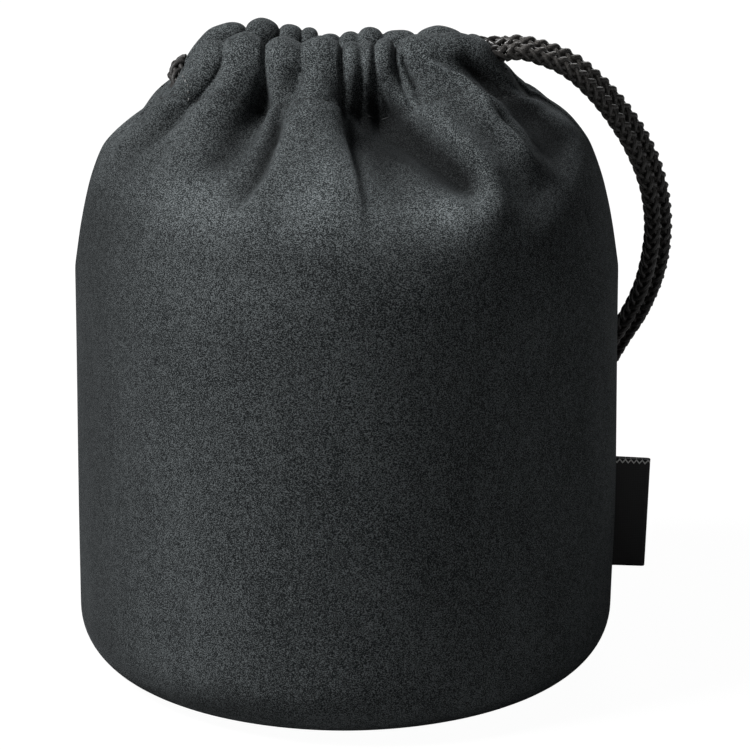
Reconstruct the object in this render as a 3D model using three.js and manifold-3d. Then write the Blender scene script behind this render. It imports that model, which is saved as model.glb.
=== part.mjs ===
// Soft drawstring lens pouch: a round padded body, a gathered collar and one drawcord.
// Millimetres, +z up. The pouch stands on z = 0, its front faces -y and the label is at +x.
import * as THREE from 'three';
import { mergeVertices } from 'three/addons/utils/BufferGeometryUtils.js';
import Module from 'manifold-3d';

const wasm = await Module();
wasm.setup();

// Body
const BODY_RADIUS = 50;
const WALL_HEIGHT = 78;
const BASE_ROUND = 12;
const BASE_HEM = 2;

// Cloth layers, from the outside in
const SUEDE = 1.2;
const PADDING = 2.5;
const LINING = 0.8;
const BASE_PADDING = 3;

// Gathered collar and its drawcord casing
const SHOULDER_RISE = 27.5;
const NECK_HALF_WIDTH = 31;
const NECK_SQUARENESS = 4;
const LIP_HALF_WIDTH = 28.8;
const CASING_HEIGHT = 14;
const MOUTH_GAP = 6;
const CASING_BOW = 3.6;
const PLEAT_PITCH = 7.2;
const PLEAT_DEPTH = 1.4;

// Drawcord
const CORD_DIAMETER = 3.4;
const CORD_PLAY = 0.3;
const CORD_FALL = 5;
const BRIDGE_REACH = 2.2;
const KNOT_RADIUS = 5.4;
const KNOT_LENGTH = 9;
const KNOT_COILS = 3;

// Woven label folded over and sewn into the right side seam
const LABEL_HEIGHT = 22;
const LABEL_REACH = 5.9;
const LABEL_PLY = 0.45;
const LABEL_FOLD_GAP = 0.3;
const LABEL_BOTTOM = 16;

// Clearance between neighbouring pieces
const GAP = 0.3;

// Facets
const ROUND_SEGMENTS = 48;
const NECK_COLUMNS = 80;
const SHOULDER_ROWS = 7;
const CASING_STATIONS = 40;
const CASING_TOP_POINTS = 6;
const CORD_SIDES = 8;

// Levels and radii that follow from the sizes above
const neckHeight = WALL_HEIGHT + SHOULDER_RISE;
const mouthHeight = neckHeight + CASING_HEIGHT;
const cordRadius = CORD_DIAMETER / 2;
const tunnelRadius = cordRadius + CORD_PLAY;
const casingHalf = tunnelRadius + SUEDE;
const casingMiddle = MOUTH_GAP / 2 + casingHalf;
const casingEnd = casingMiddle - CASING_BOW;
const neckHalfDepth = casingMiddle + casingHalf;
const foldHeight = mouthHeight - casingHalf;
const lipEnd = LIP_HALF_WIDTH - GAP / 2;
const shoulderStart = LIP_HALF_WIDTH + GAP / 2;
const paddingOuter = BODY_RADIUS - SUEDE - GAP;
const liningOuter = paddingOuter - PADDING - GAP;
const baseSeamRadius = BODY_RADIUS - BASE_ROUND - BASE_HEM;
const basePaddingBottom = SUEDE + GAP;
const baseLiningBottom = basePaddingBottom + BASE_PADDING + GAP;
const baseLiningTop = baseLiningBottom + LINING;
const wallTop = WALL_HEIGHT - GAP;

// Colours of the cloth, the foam, the cord and the woven label
const suede = { color: 0x3a3e40, roughness: 0.95, metalness: 0 };
const foam = { color: 0x8c8c88, roughness: 0.9, metalness: 0 };
const fleece = { color: 0x2a2c2e, roughness: 0.95, metalness: 0 };
const braid = { color: 0x241f1c, roughness: 0.75, metalness: 0 };
const satin = { color: 0x161617, roughness: 0.5, metalness: 0 };

const pouch = new THREE.Group();

function addPart(name, geometry, finish) {
  const mesh = new THREE.Mesh(geometry, new THREE.MeshStandardMaterial(finish));
  mesh.name = name;
  pouch.add(mesh);
}

// Solids for cutting and joining
function toSolid(geometry) {
  const bare = geometry.clone();
  bare.deleteAttribute('normal');
  bare.deleteAttribute('uv');
  const merged = mergeVertices(bare);
  return new wasm.Manifold(new wasm.Mesh({
    numProp: 3,
    vertProperties: merged.attributes.position.array,
    triVerts: new Uint32Array(merged.index.array),
  }));
}

function toGeometry(solid) {
  const mesh = solid.getMesh();
  const geometry = new THREE.BufferGeometry();
  geometry.setAttribute('position', new THREE.BufferAttribute(mesh.vertProperties, 3));
  geometry.setIndex(new THREE.BufferAttribute(mesh.triVerts, 1));
  geometry.computeVertexNormals();
  return geometry;
}

// A box given by its lowest and highest corner, reaching well past the pouch where a side is open
const FAR = 2 * (BODY_RADIUS + mouthHeight);

function boxSolid(low, high) {
  const size = new THREE.Vector3().subVectors(high, low);
  const box = new THREE.BoxGeometry(size.x, size.y, size.z);
  const centre = new THREE.Vector3().addVectors(low, high).multiplyScalar(0.5);
  box.translate(centre.x, centre.y, centre.z);
  return toSolid(box);
}

const frontHalf = boxSolid(new THREE.Vector3(-FAR, -FAR, -FAR), new THREE.Vector3(FAR, -GAP / 2, FAR));
const backHalf = boxSolid(new THREE.Vector3(-FAR, GAP / 2, -FAR), new THREE.Vector3(FAR, FAR, FAR));
const frontLip = boxSolid(new THREE.Vector3(-lipEnd, -FAR, -FAR), new THREE.Vector3(lipEnd, -GAP / 2, FAR));
const backLip = boxSolid(new THREE.Vector3(-lipEnd, GAP / 2, -FAR), new THREE.Vector3(lipEnd, FAR, FAR));
const leftSide = boxSolid(new THREE.Vector3(-FAR, -FAR, -FAR), new THREE.Vector3(-shoulderStart, FAR, FAR));
const lips = boxSolid(new THREE.Vector3(-FAR, -FAR, neckHeight), new THREE.Vector3(shoulderStart, FAR, FAR));
const rightSide = boxSolid(new THREE.Vector3(shoulderStart, -FAR, -FAR), new THREE.Vector3(FAR, FAR, FAR));

// A ring turned about the z axis from a closed outline of radius and height
function turned(outline) {
  const closed = [...outline, outline[0]];
  const ring = new THREE.LatheGeometry(closed, ROUND_SEGMENTS);
  ring.rotateX(Math.PI / 2);
  return facingOut(ring);
}

function ringOutline(inner, outer, bottom, top) {
  return [
    new THREE.Vector2(inner, bottom),
    new THREE.Vector2(outer, bottom),
    new THREE.Vector2(outer, top),
    new THREE.Vector2(inner, top),
  ];
}

function disc(radius, bottom, thickness) {
  const plate = new THREE.CylinderGeometry(radius, radius, thickness, ROUND_SEGMENTS);
  plate.rotateX(Math.PI / 2);
  plate.translate(0, 0, bottom + thickness / 2);
  return plate;
}

// Turns a closed geometry's faces outwards if they point in
function facingOut(geometry) {
  const bare = geometry.clone();
  bare.deleteAttribute('normal');
  bare.deleteAttribute('uv');
  const merged = mergeVertices(bare);
  const at = merged.attributes.position;
  const order = merged.index.array;
  const a = new THREE.Vector3();
  const b = new THREE.Vector3();
  const c = new THREE.Vector3();
  let volume = 0;
  for (let i = 0; i < order.length; i += 3) {
    a.fromBufferAttribute(at, order[i]);
    b.fromBufferAttribute(at, order[i + 1]);
    c.fromBufferAttribute(at, order[i + 2]);
    volume += a.dot(b.cross(c));
  }
  if (volume < 0) {
    for (let i = 0; i < order.length; i += 3) {
      const first = order[i];
      order[i] = order[i + 1];
      order[i + 1] = first;
    }
  }
  return merged;
}

// A skin through a row of like sections, closed into a loop or capped at both ends
function loft(sections, isLoop) {
  const points = sections.flat();
  const count = sections[0].length;
  const faces = [];
  const last = isLoop ? sections.length : sections.length - 1;
  for (let s = 0; s < last; s += 1) {
    const here = s * count;
    const next = ((s + 1) % sections.length) * count;
    for (let p = 0; p < count; p += 1) {
      const q = (p + 1) % count;
      faces.push(here + p, next + p, next + q, here + p, next + q, here + q);
    }
  }
  if (!isLoop) {
    const end = (sections.length - 1) * count;
    for (let p = 1; p + 1 < count; p += 1) {
      faces.push(0, p, p + 1, end, end + p + 1, end + p);
    }
  }
  const geometry = new THREE.BufferGeometry().setFromPoints(points);
  geometry.setIndex(faces);
  return facingOut(geometry);
}

// Body walls: the outer cloth turns under at the base, with padding and lining inside it
const edge = BODY_RADIUS - BASE_ROUND;
const panelOutline = new THREE.Path();
panelOutline.moveTo(baseSeamRadius, 0);
panelOutline.lineTo(edge, 0);
panelOutline.absarc(edge, BASE_ROUND, BASE_ROUND, -Math.PI / 2, 0, false);
panelOutline.lineTo(BODY_RADIUS, WALL_HEIGHT);
panelOutline.lineTo(BODY_RADIUS - SUEDE, WALL_HEIGHT);
panelOutline.lineTo(BODY_RADIUS - SUEDE, BASE_ROUND);
panelOutline.absarc(edge, BASE_ROUND, BASE_ROUND - SUEDE, 0, -Math.PI / 2, true);
panelOutline.lineTo(baseSeamRadius, SUEDE);
const PANEL_ARC_POINTS = 5;
const walls = [
  ['panel', turned(panelOutline.getPoints(PANEL_ARC_POINTS)), suede],
  ['padding', turned(ringOutline(paddingOuter - PADDING, paddingOuter, BASE_ROUND, wallTop)), foam],
  ['lining', turned(ringOutline(liningOuter - LINING, liningOuter, baseLiningTop + GAP, wallTop)), fleece],
];
for (const [layer, ring, finish] of walls) {
  const solid = toSolid(ring);
  addPart(`front_${layer}`, toGeometry(solid.intersect(frontHalf)), finish);
  addPart(`back_${layer}`, toGeometry(solid.intersect(backHalf)), finish);
}

// Round base: outer cloth, foam and lining
addPart('base_panel', disc(baseSeamRadius - GAP, 0, SUEDE), suede);
addPart('base_padding', disc(edge - GAP, basePaddingBottom, BASE_PADDING), foam);
addPart('base_lining', disc(liningOuter, baseLiningBottom, LINING), fleece);

// Flat oval that the collar is gathered into, in the plane of the neck
class NeckOval extends THREE.Curve {
  constructor(inset) {
    super();
    this.a = NECK_HALF_WIDTH - inset;
    this.b = neckHalfDepth - inset;
  }

  getPoint(t, target = new THREE.Vector3()) {
    const turn = 2 * Math.PI * t;
    const across = Math.abs(Math.cos(turn) / this.a) ** NECK_SQUARENESS;
    const deep = Math.abs(Math.sin(turn) / this.b) ** NECK_SQUARENESS;
    const radius = (across + deep) ** (-1 / NECK_SQUARENESS);
    return target.set(radius * Math.cos(turn), radius * Math.sin(turn), 0);
  }
}

const neck = new NeckOval(0);
neck.arcLengthDivisions = 8 * NECK_COLUMNS;
const turnIn = new NeckOval(casingHalf);

// Height of the pleats across the neck, with a pleat's crest on the middle of each lip
function pleat(x) {
  const inside = Math.max(0, 1 - (x / NECK_HALF_WIDTH) ** 2);
  return PLEAT_DEPTH * inside * 0.5 * (1 + Math.cos((2 * Math.PI * x) / PLEAT_PITCH));
}

// One upright section of the shoulder dome, from the body's rim in to the neck
function shoulderSection(share) {
  const t = neck.getUtoTmapping(share);
  const gathered = neck.getPoint(t);
  const hem = turnIn.getPoint(t);
  const around = 2 * Math.PI * share;
  const rim = new THREE.Vector3(Math.cos(around), Math.sin(around), 0);
  const skin = (inset) => {
    const row = [];
    for (let i = 0; i <= SHOULDER_ROWS; i += 1) {
      const lean = (Math.PI / 2) * (i / SHOULDER_ROWS);
      const point = rim.clone().multiplyScalar(BODY_RADIUS - inset);
      point.lerp(gathered, 1 - Math.cos(lean));
      const rise = (SHOULDER_RISE - GAP - inset) * Math.sin(lean);
      const swell = pleat(gathered.x) * Math.sin(lean) ** 2;
      point.z = WALL_HEIGHT + GAP + rise + swell * Math.sin(lean);
      point.addScaledVector(rim, swell * Math.cos(lean));
      row.push(point);
    }
    row.push(new THREE.Vector3(hem.x, hem.y, neckHeight - inset));
    return row;
  };
  return [...skin(0), ...skin(SUEDE).reverse()];
}

const shoulderSections = [];
for (let i = 0; i < NECK_COLUMNS; i += 1) {
  shoulderSections.push(shoulderSection(i / NECK_COLUMNS));
}
const shoulders = toSolid(loft(shoulderSections, true));

// Middle of the casing from the mouth's centre line; side is -1 in front and 1 at the back
function casingDepth(x, side) {
  return side * (casingEnd + CASING_BOW * (1 - (x / LIP_HALF_WIDTH) ** 2));
}

// Level of the drawcord, which lies in the top fold at the right and falls towards the left
function cordLevel(x) {
  return foldHeight - (CORD_FALL / 2) * (1 - x / LIP_HALF_WIDTH);
}

// The hem that is folded over the drawcord, with a round fold along its top
function casingBand(side) {
  const sections = [];
  for (let i = 0; i <= CASING_STATIONS; i += 1) {
    const x = lipEnd * (2 * (i / CASING_STATIONS) - 1);
    const middle = casingDepth(x, side);
    const outside = casingHalf + pleat(x);
    const section = [new THREE.Vector3(x, middle + side * outside, neckHeight - SUEDE)];
    for (let j = 0; j <= CASING_TOP_POINTS; j += 1) {
      const turn = (Math.PI * j) / CASING_TOP_POINTS;
      const reach = Math.cos(turn) > 0 ? outside : casingHalf;
      const lift = (casingHalf + pleat(x)) * Math.sin(turn);
      section.push(new THREE.Vector3(x, middle + side * reach * Math.cos(turn), foldHeight + lift));
    }
    section.push(new THREE.Vector3(x, middle - side * casingHalf, neckHeight - SUEDE));
    sections.push(section);
  }
  return toSolid(loft(sections, false));
}

// A round tube along a curve
function tube(curve, radius, steps) {
  const corners = [];
  for (let i = 0; i < CORD_SIDES; i += 1) {
    const turn = (2 * Math.PI * i) / CORD_SIDES;
    corners.push(new THREE.Vector2(radius * Math.cos(turn), radius * Math.sin(turn)));
  }
  return new THREE.ExtrudeGeometry(new THREE.Shape(corners), {
    steps,
    bevelEnabled: false,
    extrudePath: curve,
  });
}

// The drawcord's way through one casing, as far as the given half length
const RUN_STEPS = 16;

function casingCurve(side, halfLength) {
  const points = [];
  for (let i = 0; i <= RUN_STEPS; i += 1) {
    const x = halfLength * (2 * (i / RUN_STEPS) - 1);
    points.push(new THREE.Vector3(x, casingDepth(x, side), cordLevel(x)));
  }
  return new THREE.CatmullRomCurve3(points);
}

// Collar: the front and back lips open out, and the shoulders at the side seams stay
function collar(side, lip) {
  const tunnel = toSolid(tube(casingCurve(side, lipEnd + casingHalf), tunnelRadius, RUN_STEPS));
  return shoulders.add(casingBand(side)).subtract(tunnel).intersect(lip);
}

addPart('front_collar', toGeometry(collar(-1, frontLip)), suede);
addPart('back_collar', toGeometry(collar(1, backLip)), suede);
addPart('left_shoulder', toGeometry(shoulders.intersect(leftSide)), suede);
addPart('right_shoulder', toGeometry(shoulders.intersect(rightSide)), suede);

// Drawcord: through both casings, round the left side seam, and both ends out at the right
function cutTube(curve, steps, keep) {
  return toGeometry(toSolid(tube(curve, cordRadius, steps)).intersect(keep));
}

const cordOverrun = lipEnd + casingHalf;
addPart('front_cord_run', cutTube(casingCurve(-1, cordOverrun), RUN_STEPS, frontLip), braid);
addPart('back_cord_run', cutTube(casingCurve(1, cordOverrun), RUN_STEPS, backLip), braid);

const BRIDGE_POINTS = 8;
const bridgeLevel = cordLevel(-LIP_HALF_WIDTH);
const bridge = [];
for (let i = 0; i <= BRIDGE_POINTS; i += 1) {
  const turn = (Math.PI * i) / BRIDGE_POINTS;
  const x = -LIP_HALF_WIDTH - BRIDGE_REACH * Math.sin(turn);
  bridge.push(new THREE.Vector3(x, -casingEnd * Math.cos(turn), bridgeLevel));
}
const casingInside = LIP_HALF_WIDTH - CORD_DIAMETER;
bridge.unshift(new THREE.Vector3(-casingInside, casingDepth(casingInside, -1), bridgeLevel));
bridge.push(new THREE.Vector3(-casingInside, casingDepth(casingInside, 1), bridgeLevel));
const bridgeCurve = new THREE.CatmullRomCurve3(bridge);
addPart('cord_bridge', cutTube(bridgeCurve, 2 * BRIDGE_POINTS, leftSide), braid);

// Knot that ties both ends together on the ground behind the pouch
const knotCentre = new THREE.Vector3(0.38 * BODY_RADIUS, 1.116 * BODY_RADIUS, KNOT_RADIUS + GAP);
const knotHeading = new THREE.Vector3(-0.93, 0.37, 0).normalize();
const knotAside = new THREE.Vector3(0, 0, 1).cross(knotHeading).negate();
const knotFace = KNOT_LENGTH / 2 + GAP;
const COIL_POINTS = 5;
const knotOutline = [new THREE.Vector2(0, -KNOT_LENGTH / 2)];
for (let i = 0; i <= KNOT_COILS * COIL_POINTS; i += 1) {
  const turns = i / COIL_POINTS;
  const swell = Math.abs(Math.sin(Math.PI * turns));
  const along = KNOT_LENGTH * (turns / KNOT_COILS - 1 / 2);
  knotOutline.push(new THREE.Vector2(KNOT_RADIUS - cordRadius * (1 - swell), along));
}
knotOutline.push(new THREE.Vector2(0, KNOT_LENGTH / 2));
const knot = new THREE.LatheGeometry(knotOutline, 2 * CORD_SIDES);
knot.applyQuaternion(new THREE.Quaternion().setFromUnitVectors(new THREE.Vector3(0, 1, 0), knotHeading));
knot.translate(knotCentre.x, knotCentre.y, knotCentre.z);
addPart('cord_knot', facingOut(knot), braid);

// A point beside the knot: along its heading, aside from it and above the ground
function nearKnot(along, aside, height) {
  const point = knotCentre.clone().addScaledVector(knotHeading, along);
  point.addScaledVector(knotAside, aside);
  return point.setZ(height);
}

// Free ends: out of the casings, over in an arch beside the pouch and down to the knot.
// The points are hand-chosen shares of the body's radius across and of its height up.
const frontEndRoute = [
  [0.648, -0.027, 0.971], [0.788, 0.024, 0.942], [0.896, 0.074, 0.898], [0.989, 0.132, 0.843],
  [1.058, 0.186, 0.787], [1.112, 0.244, 0.724], [1.136, 0.304, 0.658], [1.132, 0.366, 0.596],
  [1.106, 0.434, 0.532], [1.056, 0.508, 0.471], [0.998, 0.583, 0.417], [0.943, 0.662, 0.358],
  [0.885, 0.735, 0.298], [0.823, 0.799, 0.242], [0.749, 0.864, 0.184], [0.676, 0.920, 0.129],
  [0.612, 0.962, 0.072],
];
const backEndRoute = [
  [0.651, 0.066, 0.971], [0.799, 0.105, 0.946], [0.919, 0.154, 0.900], [1.013, 0.204, 0.850],
  [1.094, 0.258, 0.791], [1.150, 0.313, 0.728], [1.177, 0.372, 0.662], [1.180, 0.433, 0.596],
  [1.159, 0.494, 0.534], [1.111, 0.564, 0.472], [1.049, 0.643, 0.415], [0.996, 0.727, 0.357],
  [0.938, 0.803, 0.297], [0.870, 0.871, 0.238], [0.799, 0.932, 0.184], [0.714, 0.993, 0.127],
  [0.640, 1.038, 0.073],
];
const END_STEPS = 40;
const endAside = cordRadius + GAP / 2;

function besidePouch([across, deep, up]) {
  return new THREE.Vector3(across * BODY_RADIUS, deep * BODY_RADIUS, up * mouthHeight);
}

function freeEnd(side, route) {
  const casingOut = [casingInside, LIP_HALF_WIDTH].map(
    (x) => new THREE.Vector3(x, casingDepth(x, side), cordLevel(x)),
  );
  const lead = nearKnot(-knotFace - CORD_DIAMETER, side * endAside, knotCentre.z);
  const tied = nearKnot(-knotFace, side * endAside, knotCentre.z);
  const points = [...casingOut, ...route.map(besidePouch), lead, tied];
  return toGeometry(toSolid(tube(new THREE.CatmullRomCurve3(points), cordRadius, END_STEPS)).subtract(lips));
}

addPart('front_cord_end', freeEnd(-1, frontEndRoute), braid);
addPart('back_cord_end', freeEnd(1, backEndRoute), braid);

// Cut tips of the cord beyond the knot, coming to rest on the ground
const TIP_LENGTH = 13;
const TIP_STEPS = 6;

function cordTip(side) {
  const ground = cordRadius + GAP;
  const points = [
    nearKnot(knotFace, side * endAside, knotCentre.z),
    nearKnot(knotFace + cordRadius, side * endAside, knotCentre.z),
    nearKnot(knotFace + TIP_LENGTH / 2, side * 1.5 * endAside, ground + GAP),
    nearKnot(knotFace + TIP_LENGTH, side * 2 * endAside, ground),
  ];
  return tube(new THREE.CatmullRomCurve3(points), cordRadius, TIP_STEPS);
}

addPart('front_cord_tip', cordTip(-1), braid);
addPart('back_cord_tip', cordTip(1), braid);

// Label: a strip of woven satin folded in two, its cut ends held in the right side seam
const labelHalf = LABEL_PLY + LABEL_FOLD_GAP / 2;
const slitHalf = LABEL_FOLD_GAP / 2;
const labelRoot = BODY_RADIUS + GAP + labelHalf;
const labelFold = BODY_RADIUS + GAP + LABEL_REACH - labelHalf;
const rootTurn = Math.asin(slitHalf / labelHalf);
const strip = new THREE.Shape();
strip.moveTo(labelRoot, -labelHalf);
strip.lineTo(labelFold, -labelHalf);
strip.absarc(labelFold, 0, labelHalf, -Math.PI / 2, Math.PI / 2, false);
strip.lineTo(labelRoot, labelHalf);
strip.absarc(labelRoot, 0, labelHalf, Math.PI / 2, Math.PI - rootTurn, false);
strip.lineTo(labelFold, slitHalf);
strip.absarc(labelFold, 0, slitHalf, Math.PI / 2, -Math.PI / 2, true);
strip.lineTo(labelRoot - labelHalf * Math.cos(rootTurn), -slitHalf);
strip.absarc(labelRoot, 0, labelHalf, Math.PI + rootTurn, 1.5 * Math.PI, false);
const LABEL_ARC_POINTS = 4;
const label = new THREE.ExtrudeGeometry(strip, {
  depth: LABEL_HEIGHT,
  bevelEnabled: false,
  curveSegments: LABEL_ARC_POINTS,
});
label.translate(0, 0, LABEL_BOTTOM);
addPart('side_label', label, satin);

export default pouch;
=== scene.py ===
import math

import bmesh
import bpy
import numpy as np
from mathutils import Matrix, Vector


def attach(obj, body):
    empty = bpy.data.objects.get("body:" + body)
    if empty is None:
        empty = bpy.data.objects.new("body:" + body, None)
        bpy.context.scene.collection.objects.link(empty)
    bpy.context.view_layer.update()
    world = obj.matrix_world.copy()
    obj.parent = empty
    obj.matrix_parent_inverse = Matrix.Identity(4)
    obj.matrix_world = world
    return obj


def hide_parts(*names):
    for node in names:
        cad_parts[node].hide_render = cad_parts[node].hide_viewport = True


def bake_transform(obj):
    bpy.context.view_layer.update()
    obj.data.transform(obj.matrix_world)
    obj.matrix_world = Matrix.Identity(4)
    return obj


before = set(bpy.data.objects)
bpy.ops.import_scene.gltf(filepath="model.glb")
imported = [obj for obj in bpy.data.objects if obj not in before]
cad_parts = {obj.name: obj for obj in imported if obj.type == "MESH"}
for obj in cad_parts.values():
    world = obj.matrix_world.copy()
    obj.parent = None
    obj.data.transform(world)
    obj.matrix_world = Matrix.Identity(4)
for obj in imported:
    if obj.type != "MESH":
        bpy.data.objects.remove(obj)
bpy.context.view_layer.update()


# Base cloth
# The pouch stands on a round disc of the outer cloth, a brushed microsuede in dark slate grey.
# It is cut from the same roll as the body and sewn face to face with the turned-under wall.

MM = 0.001
BASE_RADIUS, BASE_CUT = 35.6, 72.0
BASE_RINGS, DISC_STEPS = 28, 96
RIPPLE_HEIGHT, RIPPLE_RATE, RIPPLE_FADE = 0.10, 0.9, 6
SUEDE_THICK = 1.2
SUEDE_DARK, SUEDE_PALE = (0.0110, 0.0130, 0.0138), (0.1420, 0.1570, 0.1620)
FIBRE_SCALE, TUFT_SCALE, FIBRE_SHARE, NAP_CONTRAST = 5800.0, 1500.0, 0.88, 5.3
SWAY_SCALE, SWAY_LENGTH = 110.0, 0.0012
BRUSH_SCALE, STREAK_SCALE, BRUSH_SHARE, BRUSH_CONTRAST = 42.0, 150.0, 0.6, 0.75
# How strongly the painted light and shade from the folds of the outer cloth scale the suede's colour.
PAINTED_LIGHT_STRENGTH = 0.55


class Socket:
    """One output in a material's nodes. Sums and products of it add Math nodes."""

    def __init__(self, tree, out):
        self.tree = tree
        self.out = out

    def node(self, kind, settings, sockets, out=0):
        made = self.tree.nodes.new(kind)
        for name, value in settings.items():
            setattr(made, name, value)
        for name, value in sockets.items():
            if isinstance(value, Socket):
                self.tree.links.new(value.out, made.inputs[name])
            else:
                made.inputs[name].default_value = value
        return Socket(self.tree, made.outputs[out])

    def math(self, operation, first, second=0.0):
        return self.node("ShaderNodeMath", {"operation": operation}, {0: first, 1: second})

    def __add__(self, other):
        return self.math("ADD", self, other)

    def __sub__(self, other):
        return self.math("SUBTRACT", self, other)

    def __rsub__(self, other):
        return self.math("SUBTRACT", other, self)

    def __mul__(self, other):
        return self.math("MULTIPLY", self, other)

    def __pow__(self, other):
        return self.math("POWER", self, other)

    def clamp(self):
        return self.node("ShaderNodeClamp", {}, {"Value": self})

    def axis(self, name):
        return self.node("ShaderNodeSeparateXYZ", {}, {0: self}, out=name)

    def noise(self, scale, detail, roughness):
        return self.node("ShaderNodeTexNoise", {}, {
            "Vector": self, "Scale": scale, "Detail": detail, "Roughness": roughness})

    def stretch(self, across, along):
        return self.node("ShaderNodeVectorMath", {"operation": "MULTIPLY"}, {0: self, 1: (across, along, along)})

    def blend(self, low, high):
        low, high = (end if isinstance(end, Socket) else (*end, 1.0) for end in (low, high))
        return self.node("ShaderNodeMix", {"data_type": "RGBA"}, {"Factor": self, 6: low, 7: high}, out=2)

    def bump(self, strength, distance):
        return self.node("ShaderNodeBump", {}, {"Height": self, "Strength": strength, "Distance": distance})


def new_finish(name, fixed):
    """A material with its fixed values set on the shader, and its cloth coordinates to build on."""
    finish = bpy.data.materials.new(name)
    finish.use_nodes = True
    tree = finish.node_tree
    shader = tree.nodes["Principled BSDF"]
    for socket, value in fixed.items():
        shader.inputs[socket].default_value = value
    cut = Socket(tree, None).node("ShaderNodeUVMap", {"uv_map": "cut"}, {})
    return finish, cut


def wear_on(finish, **surface):
    """Links what varies over a surface to the finish's shader."""
    shader = finish.node_tree.nodes["Principled BSDF"]
    for socket, value in surface.items():
        finish.node_tree.links.new(value.out, shader.inputs[socket.replace("_", " ")])


def add_piece(name, bm, finish, flat=None):
    """A bmesh as a finished piece; flat gives each vertex its place on the uncut cloth, in metres."""
    mesh = bpy.data.meshes.new(name)
    bm.to_mesh(mesh)
    bm.free()
    mesh.polygons.foreach_set("use_smooth", [True] * len(mesh.polygons))
    places = np.empty(3 * len(mesh.vertices), np.float32)
    mesh.vertices.foreach_get("co", places)
    places = places.reshape(-1, 3)[:, :2] if flat is None else flat
    corners = np.empty(len(mesh.loops), np.int32)
    mesh.loops.foreach_get("vertex_index", corners)
    mesh.uv_layers.new(name="cut").data.foreach_set("uv", np.asarray(places, np.float32)[corners].ravel())
    mesh.materials.append(finish)
    piece = bpy.data.objects.new(name, mesh)
    bpy.context.collection.objects.link(piece)
    return piece


def spun_disc(rows):
    """A disc turned from points of radius and height, in millimetres, its middle closed."""
    bm = bmesh.new()
    line = [bm.verts.new((radius * MM, 0.0, height * MM)) for radius, height in rows]
    edges = [bm.edges.new(pair) for pair in zip(line, line[1:])]
    bmesh.ops.spin(bm, geom=line + edges, cent=(0, 0, 0), axis=(0, 0, 1),
                   angle=2 * math.pi, steps=DISC_STEPS, use_merge=True)
    bmesh.ops.remove_doubles(bm, verts=bm.verts, dist=1e-7)
    bmesh.ops.recalc_face_normals(bm, faces=bm.faces)
    return bm


suede, cut = new_finish("brushed_suede", {
    "Roughness": 0.9, "Specular IOR Level": 0.12, "Sheen Weight": 0.1,
    "Sheen Roughness": 0.45, "Sheen Tint": (0.62, 0.68, 0.72, 1.0)})
place = cut.node("ShaderNodeTexCoord", {}, {}, out="Object")
sway = cut.node("ShaderNodeTexNoise", {}, {"Vector": place, "Scale": SWAY_SCALE, "Detail": 1.0}, out=1)
centred = cut.node("ShaderNodeVectorMath", {"operation": "SUBTRACT"}, {0: sway, 1: (0.5, 0.5, 0.5)})
swept = cut.node("ShaderNodeVectorMath", {"operation": "MULTIPLY_ADD"}, {
    0: centred, 1: (SWAY_LENGTH, SWAY_LENGTH, SWAY_LENGTH), 2: place})
fibres = swept.stretch(0.7, 1.0).noise(FIBRE_SCALE, 1.0, 0.6)
tufts = swept.stretch(0.8, 0.5).noise(TUFT_SCALE, 1.0, 0.5)
pile = fibres * FIBRE_SHARE + tufts * (1.0 - FIBRE_SHARE)
streaks = cut.stretch(1.0, 0.3).noise(STREAK_SCALE, 2.0, 0.6)
brushed = cut.noise(BRUSH_SCALE, 2.0, 0.5) * BRUSH_SHARE + streaks * (1.0 - BRUSH_SHARE)
tone = ((pile - 0.5) * NAP_CONTRAST + 0.5 + (brushed - 0.5) * BRUSH_CONTRAST).clamp() ** 2.0
# Painted light: a per-point attribute of the outer cloth scales the fibre colour. It is darker as painted shade in
# fold hollows and under the shoulder, and paler as painted highlight on ridges and lobe tops.
painted_light = cut.node("ShaderNodeAttribute", {"attribute_name": "painted_light"}, {}, out="Fac")
grain_and_painted_light = cut.node("ShaderNodeVectorMath", {"operation": "SCALE"}, {
    0: tone.blend(SUEDE_DARK, SUEDE_PALE), "Scale": painted_light * PAINTED_LIGHT_STRENGTH + 1.0})
wear_on(suede, Base_Color=grain_and_painted_light, Normal=pile.bump(0.45, 0.00035))

rings = np.linspace(0.0, BASE_RADIUS, BASE_RINGS)
base_rows = [(r, RIPPLE_HEIGHT * math.sin(r * RIPPLE_RATE) ** 2 * fade) for r, fade in
             zip(rings, np.clip((BASE_RADIUS - rings) / RIPPLE_FADE, 0, 1))]
base_cloth = add_piece("base_cloth", spun_disc(base_rows + [(BASE_RADIUS, SUEDE_THICK), (0.0, SUEDE_THICK)]), suede)
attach(base_cloth, "pouch")
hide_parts("base_panel")


# Foam in the base
# A round pad of closed-cell foam lies loose between the base cloth and the base lining.
# It is die-cut, so its edge is square with only a slight crush.

FOAM_DARK, FOAM_PALE = (0.16, 0.16, 0.155), (0.34, 0.34, 0.33)
CELL_SCALE, CELL_CONTRAST = 1800.0, 1.4
BASE_PAD_ROWS = [(0, 1.55), (36.6, 1.55), (37.3, 1.8), (37.6, 2.4),
                 (37.6, 3.6), (37.3, 4.2), (36.6, 4.45), (0, 4.45)]
foam, cut = new_finish("padding_foam", {"Roughness": 0.9, "Specular IOR Level": 0.2})
cells = cut.node("ShaderNodeTexVoronoi", {"feature": "F1"}, {"Vector": cut, "Scale": CELL_SCALE})
wear_on(foam, Base_Color=(cells * CELL_CONTRAST).clamp().blend(FOAM_DARK, FOAM_PALE), Normal=cells.bump(0.5, 0.0003))
base_pad = add_piece("base_pad", spun_disc(BASE_PAD_ROWS), foam)
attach(base_pad, "pouch")
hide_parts("base_padding")


# Lining of the base
# A disc of short brushed fleece lies on the foam, with its edge sewn to the wall lining.
# The foam lifts it a little in the middle, so a lens rests on a soft crown.

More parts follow.
